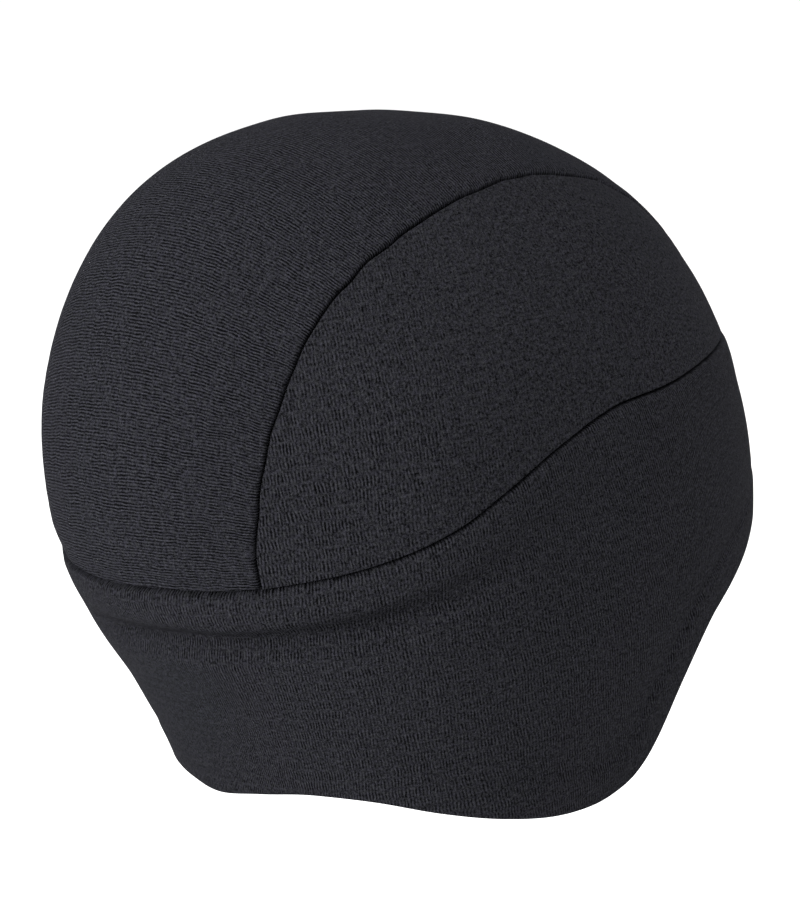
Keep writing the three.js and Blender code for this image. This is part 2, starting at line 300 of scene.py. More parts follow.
def cloth_piece(name, faces, grain):
    """A sheet with two faces, from grids of points whose borders are joined all round."""
    outer, inner = faces
    rows, columns = outer.shape[:2]
    number = np.arange(rows * columns).reshape(rows, columns)
    points = np.concatenate([outer.reshape(-1, 3), inner.reshape(-1, 3)])
    under = number + rows * columns
    uv = np.concatenate([grain.reshape(-1, 2)] * 2)

    def quads(grid):
        return np.stack([grid[:-1, :-1], grid[1:, :-1], grid[1:, 1:], grid[:-1, 1:]], -1).reshape(-1, 4)

    def border(over, below):
        return np.stack([over[1:], over[:-1], below[:-1], below[1:]], -1)

    outside = quads(number)
    inside = np.concatenate([
        quads(under)[:, ::-1],
        border(number[:, 0], under[:, 0]),
        border(number[:, -1], under[:, -1])[:, ::-1],
        border(number[0], under[0])[:, ::-1],
        border(number[-1], under[-1]),
    ])
    return sew(name, points, outside, inside, uv[outside], uv[inside])


def sew(name, points, outside, inside, outside_grain, inside_grain):
    quads = np.concatenate([outside, inside])
    mesh = bpy.data.meshes.new(name)
    mesh.vertices.add(len(points))
    mesh.vertices.foreach_set("co", (points - [0, 0, CROWN_RISE - CLOTH]).astype(np.float32).ravel())
    mesh.loops.add(quads.size)
    mesh.loops.foreach_set("vertex_index", quads.astype(np.int32).ravel())
    mesh.polygons.add(len(quads))
    mesh.polygons.foreach_set("loop_start", np.arange(0, quads.size, 4, dtype=np.int32))
    mesh.polygons.foreach_set("loop_total", np.full(len(quads), 4, np.int32))
    mesh.update(calc_edges=True)
    mesh.validate(clean_customdata=False)
    layer = mesh.uv_layers.new(name="grain")
    uv = np.concatenate([outside_grain, inside_grain]).astype(np.float32)
    layer.data.foreach_set("uv", uv.ravel())
    turned = np.concatenate([np.zeros(len(outside)), np.ones(len(inside))]).astype(np.int32)
    mesh.polygons.foreach_set("material_index", turned)
    mesh.shade_smooth()
    piece = bpy.data.objects.new(name, mesh)
    bpy.context.scene.collection.objects.link(piece)
    return piece


def link(tree, source, target):
    tree.links.new(source, target)


def maths(tree, operation, *values):
    node = tree.nodes.new("ShaderNodeMath")
    node.operation = operation
    for socket, value in zip(node.inputs, values):
        if isinstance(value, (int, float)):
            socket.default_value = value
        else:
            tree.links.new(value, socket)
    return node.outputs[0]


def group_of(name, inputs, outputs):
    tree = bpy.data.node_groups.new(name, "ShaderNodeTree")
    for label, kind, value in inputs:
        socket = tree.interface.new_socket(label, in_out="INPUT", socket_type=kind)
        if value is not None:
            socket.default_value = value
    for label, kind in outputs:
        tree.interface.new_socket(label, in_out="OUTPUT", socket_type=kind)
    return tree, tree.nodes.new("NodeGroupInput"), tree.nodes.new("NodeGroupOutput")


ribbed_knit, given, made = group_of(
    "ribbed_knit",
    [
        ("Grain", "NodeSocketVector", None),
        ("Rib Pitch", "NodeSocketFloat", 0.0009),
        ("Row Height", "NodeSocketFloat", 0.0035),
        ("Stagger", "NodeSocketFloat", 0.5),
        ("Row Gap", "NodeSocketFloat", 1.0),
        ("Clarity", "NodeSocketFloat", 1.0),
    ],
    [("Height", "NodeSocketFloat"), ("Tone", "NodeSocketFloat")],
)


def cloud(tree, vector, scale, detail=2.0, roughness=0.5):
    node = tree.nodes.new("ShaderNodeTexNoise")
    node.inputs["Scale"].default_value = scale
    node.inputs["Detail"].default_value = detail
    node.inputs["Roughness"].default_value = roughness
    tree.links.new(vector, node.inputs["Vector"])
    return node.outputs["Fac"]


def knit_network(tree, given, made):
    """Rows of short upright ribs, each row ending in a plain, fuzzy strip."""
    grain = given.outputs["Grain"]
    split = tree.nodes.new("ShaderNodeSeparateXYZ")
    link(tree, grain, split.inputs[0])
    drift = maths(tree, "SUBTRACT", cloud(tree, grain, 55), 0.5)
    waver = maths(tree, "SUBTRACT", cloud(tree, grain, 330), 0.5)
    rows = maths(tree, "DIVIDE", split.outputs["Y"], given.outputs["Row Height"])
    rows = maths(tree, "ADD", rows, maths(tree, "MULTIPLY", waver, 0.45))
    row = maths(tree, "FLOOR", rows)
    down = maths(tree, "SUBTRACT", rows, row)
    ribs = maths(tree, "DIVIDE", split.outputs["X"], given.outputs["Rib Pitch"])
    ribs = maths(tree, "ADD", ribs, maths(tree, "MULTIPLY", drift, 2.0))
    ribs = maths(tree, "ADD", ribs, maths(tree, "MULTIPLY", waver, 1.0))
    ribs = maths(tree, "ADD", ribs, maths(tree, "MULTIPLY", row, given.outputs["Stagger"]))
    shift = tree.nodes.new("ShaderNodeTexWhiteNoise")
    shift.noise_dimensions = "1D"
    link(tree, row, shift.inputs["W"])
    ribs = maths(tree, "ADD", ribs, maths(tree, "MULTIPLY", shift.outputs["Value"], 0.3))
    rib = maths(tree, "FLOOR", ribs)
    across = maths(tree, "SUBTRACT", ribs, rib)
    round_rib = maths(tree, "SINE", maths(tree, "MULTIPLY", across, math.pi))
    round_rib = maths(tree, "SUBTRACT", maths(tree, "POWER", round_rib, 1.3), 0.57)
    ends = maths(tree, "ABSOLUTE", maths(tree, "SUBTRACT", maths(tree, "MULTIPLY", down, 2.0), 1.0))
    body = maths(tree, "MULTIPLY", maths(tree, "POWER", ends, 3.0), given.outputs["Row Gap"])
    body = maths(tree, "SUBTRACT", 1.0, body)
    cell = tree.nodes.new("ShaderNodeCombineXYZ")
    link(tree, rib, cell.inputs["X"])
    link(tree, row, cell.inputs["Y"])
    chance = tree.nodes.new("ShaderNodeTexWhiteNoise")
    chance.noise_dimensions = "2D"
    link(tree, cell.outputs[0], chance.inputs["Vector"])
    strength = maths(tree, "ADD", 0.45, maths(tree, "MULTIPLY", chance.outputs["Value"], 1.1))
    rib_fade = maths(tree, "MULTIPLY_ADD", cloud(tree, grain, 140, 3.0), 2.0, -0.05)
    rib_relief = maths(tree, "MULTIPLY", maths(tree, "MULTIPLY", round_rib, body), strength)
    rib_fade = maths(tree, "MAXIMUM", maths(tree, "MINIMUM", rib_fade, 1.2), 0.25)
    rib_relief = maths(tree, "MULTIPLY", rib_relief, rib_fade)
    rib_relief = maths(tree, "MULTIPLY", rib_relief, given.outputs["Clarity"])
    fibre = maths(tree, "SUBTRACT", cloud(tree, grain, 1250, 2.0, 0.9), 0.5)
    link(tree, maths(tree, "MULTIPLY_ADD", fibre, 1.6, rib_relief), made.inputs["Height"])
    # Painted shade: the tone follows the rib relief, lighter on the crests and darker in the grooves between
    # ribs; the fibre, tuft and patch noise is the cloth's own uneven colour.
    tone = maths(tree, "MULTIPLY_ADD", rib_relief, 1.45, 1.0)
    tone = maths(tree, "MULTIPLY_ADD", fibre, 5.0, tone)
    tuft = maths(tree, "SUBTRACT", cloud(tree, grain, 480, 1.0), 0.5)
    tone = maths(tree, "MULTIPLY_ADD", tuft, 1.1, tone)
    patches = maths(tree, "SUBTRACT", cloud(tree, grain, 45, 3.0), 0.5)
    tone = maths(tree, "MULTIPLY_ADD", patches, 0.2, tone)
    link(tree, maths(tree, "MAXIMUM", tone, 0.12), made.inputs["Tone"])


knit_network(ribbed_knit, given, made)


def fleece(name, colour, pitch, row_height, stagger, row_gap, clarity, depth):
    """Matt stretch fleece: fine upright ribs in rows, with painted shade in the grooves between them, fuzzy all
    over.
    """
    material = bpy.data.materials.new(name)
    material.use_nodes = True
    tree = material.node_tree
    shader = tree.nodes["Principled BSDF"]
    grain = tree.nodes.new("ShaderNodeUVMap")
    grain.uv_map = "grain"
    knit = tree.nodes.new("ShaderNodeGroup")
    knit.node_tree = ribbed_knit
    knit.inputs["Rib Pitch"].default_value = pitch
    knit.inputs["Row Height"].default_value = row_height
    knit.inputs["Stagger"].default_value = stagger
    knit.inputs["Row Gap"].default_value = row_gap
    # Painted light: a per-point fade on the side panels lowers the rib relief, both its bump and its painted
    # groove shade, towards the front and top, following the flatter light there.
    rib_fade = tree.nodes.new("ShaderNodeAttribute")
    rib_fade.attribute_name = "rib_fade_flat_light"
    link(tree, maths(tree, "MULTIPLY_ADD", rib_fade.outputs["Fac"], -clarity, clarity), knit.inputs["Clarity"])
    link(tree, grain.outputs[0], knit.inputs["Grain"])
    heather = tree.nodes.new("ShaderNodeMix")
    heather.data_type = "RGBA"
    heather.inputs["A"].default_value = (*(value * warm for value, warm in zip(colour, (1.03, 1.05, 1.0))), 1)
    heather.inputs["B"].default_value = (*(value * cool for value, cool in zip(colour, (0.96, 0.95, 1.03))), 1)
    link(tree, maths(tree, "MULTIPLY_ADD", cloud(tree, grain.outputs[0], 800, 1.0), 3.0, -1.0), heather.inputs["Factor"])
    tint = tree.nodes.new("ShaderNodeVectorMath")
    tint.operation = "SCALE"
    link(tree, heather.outputs["Result"], tint.inputs[0])
    # Painted shade: a per-point attribute, set only on the band, darkens the colour by up to 0.32 in and just
    # above the nape crease.
    painted_fold_shade = tree.nodes.new("ShaderNodeAttribute")
    painted_fold_shade.attribute_name = "painted_fold_shade"
    shade = maths(tree, "MULTIPLY_ADD", painted_fold_shade.outputs["Fac"], -0.32, 1.0)
    link(tree, maths(tree, "MULTIPLY", knit.outputs["Tone"], shade), tint.inputs["Scale"])
    link(tree, tint.outputs[0], shader.inputs["Base Color"])
    shader.inputs["Roughness"].default_value = 0.95
    shader.inputs["Specular IOR Level"].default_value = 0.01
    shader.inputs["Sheen Weight"].default_value = 0.003
    shader.inputs["Sheen Roughness"].default_value = 0.5
    shader.inputs["Sheen Tint"].default_value = (0.75, 0.78, 0.9, 1)
    bump = tree.nodes.new("ShaderNodeBump")
    bump.inputs["Strength"].default_value = 1.0
    bump.inputs["Distance"].default_value = depth
    link(tree, knit.outputs["Height"], bump.inputs["Height"])
    link(tree, bump.outputs[0], shader.inputs["Normal"])
    return material


def brushed(name, colour):
    """The brushed inner side: short soft pile with no ribs."""
    material = bpy.data.materials.new(name)
    material.use_nodes = True
    tree = material.node_tree
    shader = tree.nodes["Principled BSDF"]
    grain = tree.nodes.new("ShaderNodeUVMap")
    grain.uv_map = "grain"
    pile = cloud(tree, grain.outputs[0], 700, 3.0, 0.8)
    light = maths(tree, "MAXIMUM", maths(tree, "MULTIPLY_ADD", pile, 4.0, -1.1), 0.2)
    tint = tree.nodes.new("ShaderNodeVectorMath")
    tint.operation = "SCALE"
    tint.inputs[0].default_value = colour
    link(tree, light, tint.inputs["Scale"])
    link(tree, tint.outputs[0], shader.inputs["Base Color"])
    shader.inputs["Roughness"].default_value = 1.0
    shader.inputs["Specular IOR Level"].default_value = 0.1
    shader.inputs["Sheen Weight"].default_value = 0.03
    shader.inputs["Sheen Roughness"].default_value = 0.6
    bump = tree.nodes.new("ShaderNodeBump")
    bump.inputs["Strength"].default_value = 0.8
    bump.inputs["Distance"].default_value = 0.0006
    link(tree, pile, bump.inputs["Height"])
    link(tree, bump.outputs[0], shader.inputs["Normal"])
    return material


INSIDE = brushed("fleece_brushed_inside", (0.020, 0.020, 0.024))


def seam_lines():
    """The right strip seam and the right half of the band seam, as points on the form."""
    brow = meets_band(strip_edge, 20.0)
    nape = meets_band(strip_edge, 190.0)
    over = np.linspace(brow, nape, 400)
    turn = np.linspace(0, 180, 600)
    return on_form(over_head(over, strip_edge(over))), on_form(at_height(turn, seam_height(turn)))


STRIP_SEAM, HALF_BAND_SEAM = seam_lines()
MIRROR = np.array([-1.0, 1.0, 1.0])
BAND_SEAM = np.concatenate([HALF_BAND_SEAM, (HALF_BAND_SEAM * MIRROR)[-2::-1]])


def pucker(place, distance, seed, amount=0.00008, fade=0.004):
    """Short gathers square to a seam, strongest at the stitches."""
    spots = np.random.default_rng(seed).uniform(-1, 1, 900)
    wave = np.interp(place, np.arange(900) * 0.0011, spots)
    return amount * wave * np.exp(-distance / fade) * ramp(distance, 0, 0.0006)


def strip_grid():
    width = 2 * STRIP_HALF_WIDTH
    shares = spaced(width, 0.00145) / width
    lines, overs = [], []
    length = np.linalg.norm(np.diff(STRIP_SEAM, axis=0), axis=1).sum()
    along = spaced(length, 0.0013) / length
    for share in shares:
        def leftward(over, share=share):
            return (2 * share - 1) * (strip_edge(over) - SEAM_SLIT)
        brow = meets_band(leftward, 20.0)
        nape = meets_band(leftward, 190.0)
        over = brow + (nape - brow) * along
        lines.append(over_head(over, leftward(over)))
        overs.append(over)
    return np.array(lines), np.array(overs)


strip_directions, strip_over = strip_grid()
strip_points = on_form(strip_directions)
strip_normals = outward(strip_directions)
left_gap, left_place = reach(strip_points, STRIP_SEAM)
right_gap, right_place = reach(strip_points, STRIP_SEAM * MIRROR)
side_gap = np.minimum(left_gap, right_gap)
side_place = np.where(left_gap < right_gap, left_place, right_place + 0.4)
end_gap, end_place = reach(strip_points, BAND_SEAM)
strip_relief = (
    lip(np.minimum(side_gap, end_gap))
    + 0.00035 * (ramp(side_gap, 0, 0.002) - ramp(side_gap, TURNING_WIDTH - 0.002, TURNING_WIDTH + 0.003))
    + pucker(side_place, side_gap, 3)
    - 0.0008 * (1 - ramp(end_gap, 0, 0.009))
    + uneven(strip_points)
)
strip_outer = strip_points + strip_normals * strip_relief[..., None]
turned_in = TURNING_DEPTH * (1 - ramp(side_gap, TURNING_WIDTH - 0.0004, TURNING_WIDTH + 0.0004))
turned_in *= ramp(end_gap, 0, 0.001)
curl_in = 0.0024 * (1 - ramp(np.minimum(side_gap, end_gap), 0, 0.0024))
inner_relief = uneven(strip_points) - CLOTH - np.maximum(turned_in, curl_in)
strip_inner = strip_points + strip_normals * inner_relief[..., None]
middle_line = on_form(over_head(np.linspace(10, 200, 400), np.zeros(400)))
middle_length = np.concatenate([[0], np.cumsum(np.linalg.norm(np.diff(middle_line, axis=0), axis=1))])
across = HALF_BREADTH * np.arcsin(strip_points[..., 0] / HALF_BREADTH)
along = np.interp(strip_over, np.linspace(10, 200, 400), middle_length)
strip_grain = np.stack([along - 0.036 * across, across], -1)
crown_cloth = cloth_piece("crown_cloth", (strip_outer, strip_inner), strip_grain)
crown_cloth.data.materials.append(
    fleece("strip_fleece", (0.0124, 0.0124, 0.0148), 0.000895, 0.00337, 0.0, 0.5, 1.1, 0.00038)
)
crown_cloth.data.materials.append(INSIDE)


def sewing_thread():
    """Dull charcoal polyester thread, with painted shade from fine noise standing in for the hollows of its
    twist.
    """
    material = bpy.data.materials.new("charcoal_thread")
    material.use_nodes = True
    tree = material.node_tree
    shader = tree.nodes["Principled BSDF"]
    place = tree.nodes.new("ShaderNodeTexCoord")
    twist = cloud(tree, place.outputs["Object"], 4000, 2.0)
    tint = tree.nodes.new("ShaderNodeVectorMath")
    tint.operation = "SCALE"
    tint.inputs[0].default_value = (0.030, 0.030, 0.036)
    # Painted shade: the noise darkens the colour in place of shaded twist hollows; the same noise also varies
    # the roughness.
    link(tree, maths(tree, "MULTIPLY_ADD", twist, 1.4, 0.3), tint.inputs["Scale"])
    link(tree, tint.outputs[0], shader.inputs["Base Color"])
    link(tree, maths(tree, "MULTIPLY_ADD", twist, 0.3, 0.45), shader.inputs["Roughness"])
    return material


THREAD = sewing_thread()
THREAD_DIAMETER = 0.00026


def sewn(name, lines_of_stitches, closed=False):
    """Thread that goes back and forth between each pair of lines of stitches."""
    data = bpy.data.curves.new(name, "CURVE")
    data.dimensions = "3D"
    data.bevel_depth = THREAD_DIAMETER / 2
    data.bevel_resolution = 1
    for near, far in lines_of_stitches:
        stitches = np.where(np.arange(len(near))[:, None] % 2, near, far) - [0, 0, CROWN_RISE - CLOTH]
        spline = data.splines.new("POLY")
        spline.points.add(len(stitches) - 1)
        spline.points.foreach_set("co", np.column_stack([stitches, np.ones(len(stitches))]).ravel())
        spline.use_cyclic_u = closed
    data.materials.append(THREAD)
    piece = bpy.data.objects.new(name, data)
    bpy.context.scene.collection.objects.link(piece)
    return piece


strip_seam_thread = sewn(
    "strip_seam_thread",
    [(strip_inner[9, 13:-13], strip_inner[12, 13:-13]), (strip_inner[-10, 13:-13], strip_inner[-13, 13:-13])],
)
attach(strip_seam_thread, "root")
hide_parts("crown_strip")
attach(crown_cloth, "root")

# Side panels: a rounded piece of the same fleece on each side of the strip, with its ribs
# upright. Each is sewn to the strip along its curved top and to the band along its foot,
# and both its edges roll in at the seams.
SIDE_GRAIN_TILT = math.tan(math.radians(10.4))


def side_grid():
    def edge(over):
        return strip_edge(over) + SEAM_SLIT
    brow = meets_band(edge, 20.0)
    nape = meets_band(edge, 190.0)
    brow_turn = turn_of(over_head(brow, edge(brow)))
    nape_turn = turn_of(over_head(nape, edge(nape)))
    share = spaced(0.2, 0.00145) / 0.2
    over = brow + (nape - brow) * share
    turn = brow_turn + (nape_turn - brow_turn) * share
    upper = over_head(over, edge(over))
    lower = at_height(turn, seam_height(turn) + SEAM_SLIT)
    part = spaced(0.078, 0.00135) / 0.078
    return unit(lower[:, None] + (upper - lower)[:, None] * part[None, :, None])


def meridian_length(direction):
    """Length of cloth straight up or down the form from the level of its middle."""
    turns = np.linspace(0, 180, 61)
    latitudes = np.radians(np.linspace(-70, 89, 160))
    level = np.cos(latitudes)
    grid = np.stack([
        level[None] * np.sin(np.radians(turns))[:, None],
        -level[None] * np.cos(np.radians(turns))[:, None],
        np.broadcast_to(np.sin(latitudes), (61, 160)),
    ], -1)
    steps = np.linalg.norm(np.diff(on_form(grid), axis=1), axis=-1)
    lengths = np.concatenate([np.zeros((61, 1)), np.cumsum(steps, 1)], 1)
    lengths -= lengths[:, 70:71]
    column = np.clip(turn_of(direction) / 3, 0, 59.999)
    row = np.clip(np.degrees(np.arcsin(np.clip(direction[..., 2], -1, 1))) + 70, 0, 158.999)
    i, j = column.astype(int), row.astype(int)
    a, b = column - i, row - j
    return ((1 - a) * ((1 - b) * lengths[i, j] + b * lengths[i, j + 1])
            + a * ((1 - b) * lengths[i + 1, j] + b * lengths[i + 1, j + 1]))


level_turns = np.linspace(0, 180, 361)
level_ring = on_form(at_height(level_turns, np.full(361, -0.012)))
level_lengths = np.concatenate([[0], np.cumsum(np.linalg.norm(np.diff(level_ring, axis=0), axis=1))])


side_directions = side_grid()
side_points = on_form(side_directions)
side_normals = outward(side_directions)
for side, name in ((1, "side_cloth_left"), (-1, "side_cloth_right")):
    turned = np.array([side, 1.0, 1.0])
    points, normals = side_points * turned, side_normals * turned
    top_gap, top_place = reach(side_points, STRIP_SEAM)
    foot_gap, foot_place = reach(side_points, HALF_BAND_SEAM)
    relief = (
        lip(np.minimum(top_gap, foot_gap))
        + pucker(top_place, top_gap, 5 + side)
        + pucker(foot_place, foot_gap, 8 + side)
        + uneven(points)
    )
    outer = points + normals * relief[..., None]
    curl_in = 0.0024 * (1 - ramp(np.minimum(top_gap, foot_gap), 0, 0.0024))
    inner = points + normals * (uneven(points) - CLOTH - curl_in)[..., None]
    turn = turn_of(side_directions)
    round_head = level_lengths[-1] - np.interp(turn, level_turns, level_lengths)
    fore_and_aft = -0.125 * np.arcsin(np.clip(points[..., 1] / 0.125, -1, 1))
    grain = np.stack([
        -side * (0.72 * round_head + 0.28 * fore_and_aft + 0.175 * points[..., 2]),
        meridian_length(side_directions) + SIDE_GRAIN_TILT * points[..., 1],
    ], -1)
    # Painted light: how far the ribs fade, most towards the front and the top of the panel, where flatter light
    # falls.
    smooth = 0.55 * (1 - ramp(turn, 100, 140)) + 0.35 * ramp(side_points[..., 2], 0.030, 0.080)
    if side < 0:
        outer, inner, grain, smooth = outer[::-1], inner[::-1], grain[::-1], smooth[::-1]
    side_cloth = cloth_piece(name, (outer, inner), grain)
    side_rib_fade = side_cloth.data.attributes.new("rib_fade_flat_light", "FLOAT", "POINT")
    side_rib_fade.data.foreach_set("value", np.tile(smooth.ravel(), 2).astype(np.float32))
    if side > 0:
        side_fleece = fleece("side_fleece", (0.0114, 0.0114, 0.0134), 0.000865, 0.0035, 0.5, 1.0, 0.85, 0.00036)
    side_cloth.data.materials.append(side_fleece)
    side_cloth.data.materials.append(INSIDE)
    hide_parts(name.replace("cloth", "panel"))
    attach(side_cloth, "root")

# Ear band: one deep band of fleece round the whole cap, ribs upright, high at the brow and low
# over the ears and nape. The seam's turnings lie down inside it and raise a ridge below the
# seam, with a crease under the ridge at the nape, and its lower edge is folded in as a hem.
# The band's colour carries painted shade in and just above the nape crease.
BAND_GRAIN_TILT = math.tan(math.radians(15.1))
EAR_DROP = 0.0726
HEM_DEPTH = 0.0125
HEM_THICKNESS = 0.0026
HEM_STEP = 0.00015
EAR_HOLLOW = 0.0008
BAND_TURNING_WIDTH = 0.0075
RIDGE_HEIGHT = 0.0013
CREASE_DEPTH = 0.0037
CREASE_BELOW_SEAM = 0.0158
# Where the painted shade of the nape crease lies below the seam, and how wide it is.
PAINTED_SHADE_BELOW_SEAM = 0.0138
PAINTED_SHADE_HALF_WIDTH = 0.0062


def band_places(step):
    """Lines of the band table's kind, evenly spaced round one half of the band."""
    fine = np.linspace(0, 22, 1200)
    seam_turn = read(BAND, "line", "seam_turn", fine, False)
    rim = on_form(at_height(
        read(BAND, "line", "rim_turn", fine, False), -EAR_DROP * read(BAND, "line", "drop", fine)))
    seam = on_form(at_height(seam_turn, seam_height(seam_turn)))
    lengths = np.linalg.norm(np.diff(rim, axis=0), axis=1) + np.linalg.norm(np.diff(seam, axis=0), axis=1)
    travelled = np.concatenate([[0], np.cumsum(lengths / 2)])
    count = int(travelled[-1] / step)
    return np.interp(np.linspace(0, travelled[-1], count + 1), travelled, fine)


def rim_at(place):
    return at_height(
        read(BAND, "line", "rim_turn", place, False), -EAR_DROP * read(BAND, "line", "drop", place))


def band_half(place):
    seam_turn = read(BAND, "line", "seam_turn", place, False)
    seam = at_height(seam_turn, seam_height(seam_turn) - SEAM_SLIT)
    rim_direction = rim_at(place)
    rim = on_form(rim_direction)
    along = on_form(rim_at(np.minimum(place + 0.2, 22))) - on_form(rim_at(np.maximum(place - 0.2, 0)))
    along[[0, -1], 1:] = 0
    upward = unit(np.cross(outward(rim_direction), along))

    def above_rim(distance):
        return direction_of(rim + upward * distance)

    start = above_rim(HEM_DEPTH + CLOTH)
    length = np.linalg.norm(on_form(start) - on_form(seam), axis=-1, keepdims=True)
    close = np.array([0, 0.06, 0.16, 0.3, 0.5, 0.75, 1.05, 1.4, 1.9, 2.5, 3.2, 4.0, 4.9, 5.9, 6.9, 7.9,
                      8.9, 9.9, 10.9, 11.9, 13, 14.2]) * 0.001
    shares = np.linspace(0, 1, 30)[1:]
    directions = []
    for distance in close:
        directions.append(unit(seam + (start - seam) * distance / length))
    for share in shares:
        part = close[-1] + (length - close[-1]) * share
        directions.append(unit(seam + (start - seam) * part / length))
    body = np.stack(directions, 1)
    hem_rows = np.array([12.9, 12.4, 11.9, 11.3, 10.5, 9.4, 8.2, 7, 5.8, 4.6, 3.5, 2.5, 1.75]) * 0.001
    hem = np.stack([above_rim(distance) for distance in hem_rows], 1)
    return body, hem, hem_rows, above_rim


band_place = band_places(0.00125)
body, hem, hem_rows, above_rim = band_half(band_place)
body_points, hem_points = on_form(body), on_form(hem)
body_normals, hem_normals = outward(body), outward(hem)
rim_line = on_form(rim_at(band_place))


def band_grain(direction, side):
    """Grain that runs straight round the nape and meets at the brow."""
    point = on_form(direction)
    turn = turn_of(direction)
    round_head = level_lengths[-1] - np.interp(turn, level_turns, level_lengths)
    lean = np.sin(np.radians(turn)) * (0.41 + 0.45 * np.cos(np.radians(turn)))
    round_head += lean * point[..., 2]
    return np.stack([side * round_head, meridian_length(direction) + BAND_GRAIN_TILT * point[..., 1]], -1)


def band_side(side):
    turned = np.array([side, 1.0, 1.0])
    points, normals = body_points * turned, body_normals * turned
    gap, place = reach(points, HALF_BAND_SEAM * turned)
    rim_gap, rim_place = reach(points, rim_line * turned)
    turn = turn_of(body)
    nape = ramp(turn, 96, 130)
    if side > 0:
        nape = nape * ramp(turn, 156, 179)
    ridge = RIDGE_HEIGHT * (0.35 + 0.65 * nape) * (
        ramp(gap, 0, 0.003) - ramp(gap, 0.0055, CREASE_BELOW_SEAM + 0.0005))
    crease = CREASE_DEPTH * nape * np.where(
        gap < CREASE_BELOW_SEAM,
        hump(gap, CREASE_BELOW_SEAM, 0.0062),
        hump(gap, CREASE_BELOW_SEAM, 0.0075),
    )
    ear_front = hump(turn, 62, 22)
    hem_line = (0.0001 + 0.0006 * ear_front) * hump(rim_gap, HEM_DEPTH + 0.0012, 0.0032)
    hollow = EAR_HOLLOW * hump(turn, 85, 60) * hump(rim_gap, HEM_DEPTH + 0.004, 0.010)
    relief = lip(gap) + ridge - crease - hem_line - hollow + pucker(place, gap, 11 + side) + uneven(points)
    outer = points + normals * relief[..., None]
    turned_in = TURNING_DEPTH * (1 - ramp(gap, BAND_TURNING_WIDTH - 0.0004, BAND_TURNING_WIDTH + 0.0004))
    turned_in = np.maximum(turned_in, 0.0024 * (1 - ramp(gap, 0, 0.0024)))
    inner_relief = ridge - crease - hem_line - hollow + uneven(points) - CLOTH - turned_in
    inner = points + normals * inner_relief[..., None]

    edge_points, edge_normals = hem_points * turned, hem_normals * turned
    swell = HEM_STEP * ramp(HEM_DEPTH + 0.0006 - hem_rows, 0, 0.0016)[None]
    ear_front = hump(turn_of(hem), 62, 22)
    dip = (0.0001 + 0.0006 * ear_front) * hump(hem_rows, HEM_DEPTH + 0.0012, 0.0032)[None]
    hollow = EAR_HOLLOW * hump(turn_of(hem), 85, 60) * hump(hem_rows, HEM_DEPTH + 0.004, 0.010)[None]
    gathers = pucker(reach(edge_points, rim_line * turned)[1], np.abs(hem_rows - 0.0115)[None], 21 + side, 0.00009, 0.005)
    wave = uneven(edge_points) - hollow
    hem_outer = edge_points + edge_normals * (swell - dip + gathers + wave)[..., None]
    hem_inner = edge_points + edge_normals * (
        wave + HEM_STEP - HEM_THICKNESS * ramp(HEM_DEPTH + 0.0006 - hem_rows, -0.0004, 0.0006)[None]
        - CLOTH * (1 - ramp(HEM_DEPTH + 0.0006 - hem_rows, -0.0004, 0.0006)[None]))[..., None]

    radius = HEM_THICKNESS / 2
    fold, fold_directions = [], []
    for angle in np.linspace(0, math.pi, 11):
        direction = above_rim(radius * (1 - math.sin(angle)))
        point = on_form(direction) * turned
        offset = HEM_STEP - radius * (1 - math.cos(angle)) + uneven(point)
        fold.append(point + outward(direction) * turned * offset[..., None])
        fold_directions.append(direction)
    fold = np.stack(fold, 1)
    fold_directions = np.stack(fold_directions, 1)
    ring = np.concatenate([outer, hem_outer, fold, hem_inner[:, ::-1], inner[:, ::-1]], 1)
    directions = np.concatenate([body, hem, fold_directions, hem[:, ::-1], body[:, ::-1]], 1)
    outside_count = body.shape[1] + hem.shape[1] + 6
    # Painted shade mask: full in and just above the nape crease, fading to either side, on the outer face only.
    painted_fold_shade = np.zeros(ring.shape[:2])
    painted_fold_shade[:, :body.shape[1]] = nape * hump(gap, PAINTED_SHADE_BELOW_SEAM, PAINTED_SHADE_HALF_WIDTH)
    return ring, band_grain(directions, side), painted_fold_shade, outside_count


left_ring, left_grain, left_painted_fold_shade, outside_count = band_side(1)
right_ring, right_grain, right_painted_fold_shade, _ = band_side(-1)
ring = np.concatenate([left_ring, right_ring[-2:0:-1]])
grain = np.concatenate([left_grain, right_grain[-2::-1]])
lines, spots = ring.shape[:2]
number = np.arange(lines * spots).reshape(lines, spots)
number = np.concatenate([number, number[:1]])
number = np.concatenate([number, number[:, :1]], 1)
grain = np.concatenate([grain, grain[:, :1]], 1)
quads = np.stack([number[:-1, :-1], number[:-1, 1:], number[1:, 1:], number[1:, :-1]], -1)
corner_grain = np.stack([grain[:-1, :-1], grain[:-1, 1:], grain[1:, 1:], grain[1:, :-1]], -2)
outside = quads[:, :outside_count].reshape(-1, 4)
inside = quads[:, outside_count:].reshape(-1, 4)
band_cloth = sew(
    "band_cloth", ring.reshape(-1, 3), outside, inside,
    corner_grain[:, :outside_count].reshape(-1, 4, 2), corner_grain[:, outside_count:].reshape(-1, 4, 2))
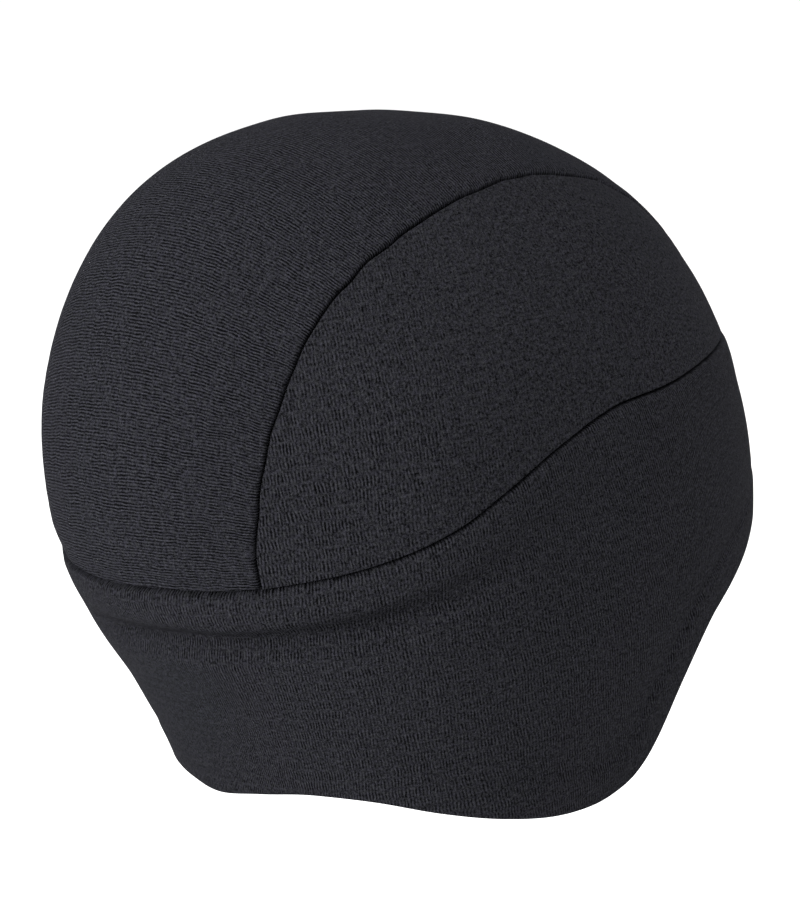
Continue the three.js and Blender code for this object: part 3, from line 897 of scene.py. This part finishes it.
# The painted shade of the nape crease, stored per point for the fleece material.
band_painted_fold_shade = band_cloth.data.attributes.new("painted_fold_shade", "FLOAT", "POINT")
band_painted_fold_shade.data.foreach_set("value", np.concatenate([left_painted_fold_shade, right_painted_fold_shade[-2:0:-1]]).astype(np.float32).ravel())
band_cloth.data.materials.append(
    fleece("band_fleece", (0.0114, 0.0114, 0.0134), 0.00088, 0.0037, 0.0, 1.0, 0.78, 0.00036))
band_cloth.data.materials.append(INSIDE)
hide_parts("ear_band")
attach(band_cloth, "root")
band_rows = body.shape[1]
band_seam_thread = sewn("band_seam_thread", [(ring[:, -10], ring[:, -15])], closed=True)
hem_thread = sewn("hem_thread", [(ring[:, -(band_rows + 3)], ring[:, -(band_rows + 6)])], closed=True)
for thread in (band_seam_thread, hem_thread):
    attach(thread, "root")

# Surroundings: a plain pale floor under the cap, an even pale room and two large soft lights,
# and the camera behind the wearer's right shoulder, a little above the cap's middle.
FLOOR_LEVEL = -0.30
bpy.ops.object.select_all(action="DESELECT")
bpy.ops.mesh.primitive_plane_add(size=40, location=(0, 0, FLOOR_LEVEL))
floor = bpy.context.active_object
floor.name = "floor"
floor_paint = bpy.data.materials.new("floor_paint")
floor_paint.use_nodes = True
floor_paint.node_tree.nodes["Principled BSDF"].inputs["Base Color"].default_value = (0.96, 0.96, 0.96, 1)
floor_paint.node_tree.nodes["Principled BSDF"].inputs["Roughness"].default_value = 0.9
floor.data.materials.append(floor_paint)

room = bpy.data.worlds.new("room")
room.use_nodes = True
room.node_tree.nodes["Background"].inputs["Color"].default_value = (1, 1, 1, 1)
room.node_tree.nodes["Background"].inputs["Strength"].default_value = 1.04
bpy.context.scene.world = room
bpy.context.scene.view_settings.view_transform = "Standard"

CAP_MIDDLE = Vector((0, 0, CLOTH - CROWN_RISE))


def softbox(name, azimuth, elevation, distance, size, power):
    a, e = math.radians(azimuth), math.radians(elevation)
    back = Vector((math.sin(a) * math.cos(e), -math.cos(a) * math.cos(e), math.sin(e)))
    data = bpy.data.lights.new(name, "AREA")
    data.shape = "DISK"
    data.size = size
    data.energy = power
    lamp = bpy.data.objects.new(name, data)
    bpy.context.scene.collection.objects.link(lamp)
    lamp.location = CAP_MIDDLE + back * distance
    lamp.rotation_mode = "QUATERNION"
    lamp.rotation_quaternion = (-back).to_track_quat("-Z", "Y")


softbox("key_light", 175, 2, 2.2, 1.6, 112)
softbox("top_light", 300, 76, 2.2, 1.6, 45)

CAMERA_AZIMUTH = math.radians(231.20)
CAMERA_ELEVATION = math.radians(9.87)
CAMERA_ROLL = math.radians(-0.39)
CAMERA_DISTANCE = 1.3
SCALE_AT_MIDDLE = 3690
FRAME_WIDTH, FRAME_HEIGHT = 800, 910
MIDDLE_IN_FRAME = (404.20, 526.95)
camera_data = bpy.data.cameras.new("camera")
camera_data.sensor_width = 36
camera_data.lens = SCALE_AT_MIDDLE * CAMERA_DISTANCE * camera_data.sensor_width / FRAME_HEIGHT
camera_data.shift_x = -(MIDDLE_IN_FRAME[0] - FRAME_WIDTH / 2) / FRAME_HEIGHT
camera_data.shift_y = (MIDDLE_IN_FRAME[1] - FRAME_HEIGHT / 2) / FRAME_HEIGHT
camera = bpy.data.objects.new("camera", camera_data)
bpy.context.scene.collection.objects.link(camera)
back = Vector((
    math.sin(CAMERA_AZIMUTH) * math.cos(CAMERA_ELEVATION),
    -math.cos(CAMERA_AZIMUTH) * math.cos(CAMERA_ELEVATION),
    math.sin(CAMERA_ELEVATION),
))
right = Vector((math.cos(CAMERA_AZIMUTH), math.sin(CAMERA_AZIMUTH), 0))
upright = back.cross(right)
level_camera = Matrix((right, upright, back)).transposed()
camera.rotation_mode = "QUATERNION"
camera.rotation_quaternion = (level_camera @ Matrix.Rotation(CAMERA_ROLL, 3, "Z")).to_quaternion()
camera.location = CAP_MIDDLE + back * CAMERA_DISTANCE
camera_data.clip_start = 0.01
camera_data.clip_end = 100
bpy.context.scene.camera = camera
